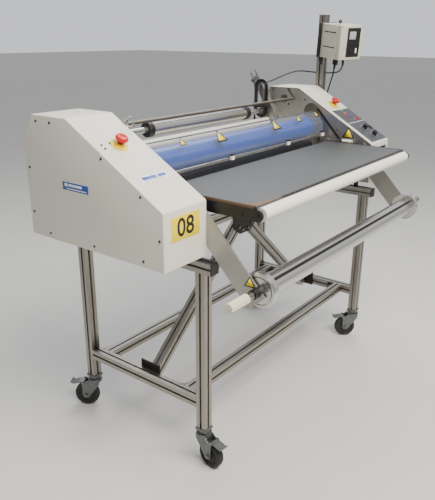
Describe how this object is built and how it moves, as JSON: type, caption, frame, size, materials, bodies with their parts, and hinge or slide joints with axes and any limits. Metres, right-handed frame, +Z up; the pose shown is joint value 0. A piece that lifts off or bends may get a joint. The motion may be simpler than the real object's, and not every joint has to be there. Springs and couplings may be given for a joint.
{
  "type": "cold roll laminator",
  "caption": "Wheeled cold roll laminator: nip rolls between two sloped side housings, feed table, unwind mandrel, rear fork arms and a control box on a post.",
  "frame": {"origin": "on the floor, under the middle of the whole object without its cords", "axes": "+X along the rolls towards the control box, -Y towards the operator (feed side), +Z up"},
  "size_m": [1.6732, 0.9291, 1.532],
  "materials": {
    "profile": "clear anodised, satin",
    "plate_steel": "dark coated steel",
    "black_plastic": "moulded, matt",
    "zinc": "grey zinc plated",
    "tread": "black rubber",
    "plate_alu": "milled plate",
    "cream_enamel": "fine textured enamel",
    "blue_silicone": "smooth blue silicone",
    "black_rubber": "ground black rubber",
    "shaft_steel": "ground steel",
    "clear_sheet": "clear bent sheet",
    "white_plastic": "moulded",
    "table_grey": "worn grey enamel over board",
    "black_steel": "black enamel",
    "cream_roller": "smooth sleeve",
    "tube_alu": "extruded, satin",
    "cream_plastic": "moulded grip",
    "yellow_plastic": "moulded",
    "red_plastic": "moulded",
    "panel_overlay": "printed film",
    "box_enamel": "grey enamel",
    "cord_rubber": "black sheath"
  },
  "bodies": {
    "body": {"legs": "profile", "side_rails": "profile", "long_rails": "profile", "braces": "profile", "frame_plates": "plate_steel", "rail_caps": "black_plastic", "caster_cups": "zinc", "side_frame_left": "plate_alu", "side_frame_right": "plate_alu", "housing_left": "cream_enamel", "housing_right": "cream_enamel", "cover_screws": "black_plastic", "table_side_plates": "black_steel", "unwind_arms": "plate_alu", "guide_bar": "shaft_steel", "estop_bases": "yellow_plastic", "control_panel": "panel_overlay", "control_post": "profile", "control_box": "box_enamel", "gear_motor": "black_steel", "power_cord": "cord_rubber", "link_cord": "cord_rubber", "cord_hank": "cord_rubber", "mains_plug": "cord_rubber"},
    "top_rolls_lift": {"lift_blocks": "plate_alu"},
    "top_roll_unit": {"top_roll": "blue_silicone", "top_roll_shaft": "shaft_steel"},
    "bottom_roll_unit": {"bottom_roll": "black_rubber", "bottom_roll_shaft": "shaft_steel"},
    "shield_unit": {"shield": "clear_sheet", "shield_bar": "shaft_steel", "shield_clamps": "white_plastic"},
    "lever": {"lift_lever": "shaft_steel"},
    "table": {"feed_table": "table_grey"},
    "front_idler": {"idler_roller": "cream_roller"},
    "back_idler": {"rear_idler": "cream_roller"},
    "mandrel": {"mandrel_tube": "tube_alu", "mandrel_flanges": "tube_alu", "mandrel_shaft": "shaft_steel", "mandrel_knob": "cream_plastic"},
    "supply": {"supply_mandrel": "tube_alu"},
    "arm_left": {"fork_arm_left": "plate_alu"},
    "arm_right": {"fork_arm_right": "plate_alu"},
    "stop_left": {"estop_button_left": "red_plastic"},
    "stop_right": {"estop_button_right": "red_plastic"},
    "knob_speed": {"speed_knob": "black_plastic"},
    "knob_pressure": {"pressure_knob": "black_plastic"},
    "button_start": {"start_button": "red_plastic"},
    "swivel_fl": {"caster_fork_fl": "zinc"},
    "wheel_fl": {"caster_wheel_fl": "tread"},
    "pedal_fl": {"caster_pedal_fl": "zinc"},
    "swivel_fr": {"caster_fork_fr": "zinc"},
    "wheel_fr": {"caster_wheel_fr": "tread"},
    "pedal_fr": {"caster_pedal_fr": "zinc"},
    "swivel_rl": {"caster_fork_rl": "zinc"},
    "wheel_rl": {"caster_wheel_rl": "tread"},
    "pedal_rl": {"caster_pedal_rl": "zinc"},
    "swivel_rr": {"caster_fork_rr": "zinc"},
    "wheel_rr": {"caster_wheel_rr": "tread"},
    "pedal_rr": {"caster_pedal_rr": "zinc"}
  },
  "joints": [
    {"name": "caster_swivel_fl", "type": "hinge", "parent": "body", "child": "swivel_fl", "pos_m": [-0.63715, -0.2015, 0.12], "axis": [0, 0, 1], "continuous": true},
    {"name": "caster_roll_fl", "type": "hinge", "parent": "swivel_fl", "child": "wheel_fl", "pos_m": [-0.64091, -0.2373, 0.05], "axis": [0.9945, -0.1045, 0], "continuous": true},
    {"name": "brake_pedal_fl", "type": "hinge", "parent": "swivel_fl", "child": "pedal_fl", "pos_m": [-0.64217, -0.24924, 0.105], "axis": [0.9945, -0.1045, 0], "range_deg": [0, 10], "stiffness_Nm_per_rad": 0.5, "springref_deg": -11.46},
    {"name": "caster_swivel_fr", "type": "hinge", "parent": "body", "child": "swivel_fr", "pos_m": [0.56475, -0.2015, 0.12], "axis": [0, 0, 1], "continuous": true},
    {"name": "caster_roll_fr", "type": "hinge", "parent": "swivel_fr", "child": "wheel_fr", "pos_m": [0.54259, -0.17313, 0.05], "axis": [-0.788, -0.6157, 0], "continuous": true},
    {"name": "brake_pedal_fr", "type": "hinge", "parent": "swivel_fr", "child": "pedal_fr", "pos_m": [0.5352, -0.16367, 0.105], "axis": [-0.788, -0.6157, 0], "range_deg": [0, 10], "stiffness_Nm_per_rad": 0.5, "springref_deg": -11.46},
    {"name": "caster_swivel_rl", "type": "hinge", "parent": "body", "child": "swivel_rl", "pos_m": [-0.63715, 0.3674, 0.12], "axis": [0, 0, 1], "continuous": true},
    {"name": "caster_roll_rl", "type": "hinge", "parent": "swivel_rl", "child": "wheel_rl", "pos_m": [-0.65623, 0.39793, 0.05], "axis": [-0.848, -0.5299, 0], "continuous": true},
    {"name": "brake_pedal_rl", "type": "hinge", "parent": "swivel_rl", "child": "pedal_rl", "pos_m": [-0.66259, 0.40811, 0.105], "axis": [-0.848, -0.5299, 0], "range_deg": [0, 10], "stiffness_Nm_per_rad": 0.5, "springref_deg": -11.46},
    {"name": "caster_swivel_rr", "type": "hinge", "parent": "body", "child": "swivel_rr", "pos_m": [0.56475, 0.3674, 0.12], "axis": [0, 0, 1], "continuous": true},
    {"name": "caster_roll_rr", "type": "hinge", "parent": "swivel_rr", "child": "wheel_rr", "pos_m": [0.54785, 0.39919, 0.05], "axis": [-0.8829, -0.4695, 0], "continuous": true},
    {"name": "brake_pedal_rr", "type": "hinge", "parent": "swivel_rr", "child": "pedal_rr", "pos_m": [0.54222, 0.40978, 0.105], "axis": [-0.8829, -0.4695, 0], "range_deg": [0, 10], "stiffness_Nm_per_rad": 0.5, "springref_deg": -11.46},
    {"name": "top_roll_lift", "type": "slide", "parent": "body", "child": "top_rolls_lift", "axis": [0, 0, 1], "range_m": [0, 0.02]},
    {"name": "top_roll_spin", "type": "hinge", "parent": "top_rolls_lift", "child": "top_roll_unit", "pos_m": [-0.0362, 0.10145, 1.029], "axis": [1, 0, 0], "continuous": true},
    {"name": "bottom_roll_spin", "type": "hinge", "parent": "body", "child": "bottom_roll_unit", "pos_m": [-0.0362, 0.10145, 0.9384], "axis": [1, 0, 0], "continuous": true},
    {"name": "shield_hinge", "type": "hinge", "parent": "body", "child": "shield_unit", "pos_m": [-0.0362, 0.07295, 1.1017], "axis": [-1, 0, 0], "range_deg": [0, 70]},
    {"name": "lift_lever_hinge", "type": "hinge", "parent": "body", "child": "lever", "pos_m": [0.5578, 0.04345, 0.976], "axis": [-1, 0, 0], "range_deg": [0, 50]},
    {"name": "table_hinge", "type": "hinge", "parent": "body", "child": "table", "pos_m": [-0.0362, -0.38455, 0.945], "axis": [1, 0, 0], "range_deg": [0, 75]},
    {"name": "front_idler_spin", "type": "hinge", "parent": "body", "child": "front_idler", "pos_m": [-0.0362, -0.38455, 0.945], "axis": [1, 0, 0], "continuous": true},
    {"name": "rear_idler_spin", "type": "hinge", "parent": "body", "child": "back_idler", "pos_m": [-0.0362, 0.34745, 1.03], "axis": [1, 0, 0], "continuous": true},
    {"name": "mandrel_spin", "type": "hinge", "parent": "body", "child": "mandrel", "pos_m": [-0.0362, -0.40855, 0.72], "axis": [1, 0, 0], "continuous": true},
    {"name": "supply_spin", "type": "hinge", "parent": "body", "child": "supply", "pos_m": [-0.0362, 0.37145, 1.082], "axis": [1, 0, 0], "continuous": true},
    {"name": "fork_arm_left_swing", "type": "hinge", "parent": "body", "child": "arm_left", "pos_m": [-0.6362, 0.30845, 1.053], "axis": [1, 0, 0], "range_deg": [-1, 9]},
    {"name": "fork_arm_right_swing", "type": "hinge", "parent": "body", "child": "arm_right", "pos_m": [0.5638, 0.30845, 1.053], "axis": [1, 0, 0], "range_deg": [0, 65]},
    {"name": "estop_press_left", "type": "slide", "parent": "body", "child": "stop_left", "axis": [0, 0.5018, -0.865], "range_m": [0, 0.005], "stiffness_N_per_m": 900},
    {"name": "estop_press_right", "type": "slide", "parent": "body", "child": "stop_right", "axis": [0, 0.5018, -0.865], "range_m": [0, 0.005], "stiffness_N_per_m": 900},
    {"name": "speed_knob_turn", "type": "hinge", "parent": "body", "child": "knob_speed", "pos_m": [0.6828, -0.12456, 1.02537], "axis": [0, -0.5018, 0.865], "range_deg": [-135, 135]},
    {"name": "pressure_knob_turn", "type": "hinge", "parent": "body", "child": "knob_pressure", "pos_m": [0.6908, -0.17127, 0.99827], "axis": [0, -0.5018, 0.865], "range_deg": [-135, 135]},
    {"name": "start_press", "type": "slide", "parent": "body", "child": "button_start", "axis": [0, 0.5018, -0.865], "range_m": [0, 0.003], "stiffness_N_per_m": 400}
  ],
  "couplings": [
    {"joint": "top_roll_spin", "follows": "bottom_roll_spin", "ratio": -1}
  ]
}
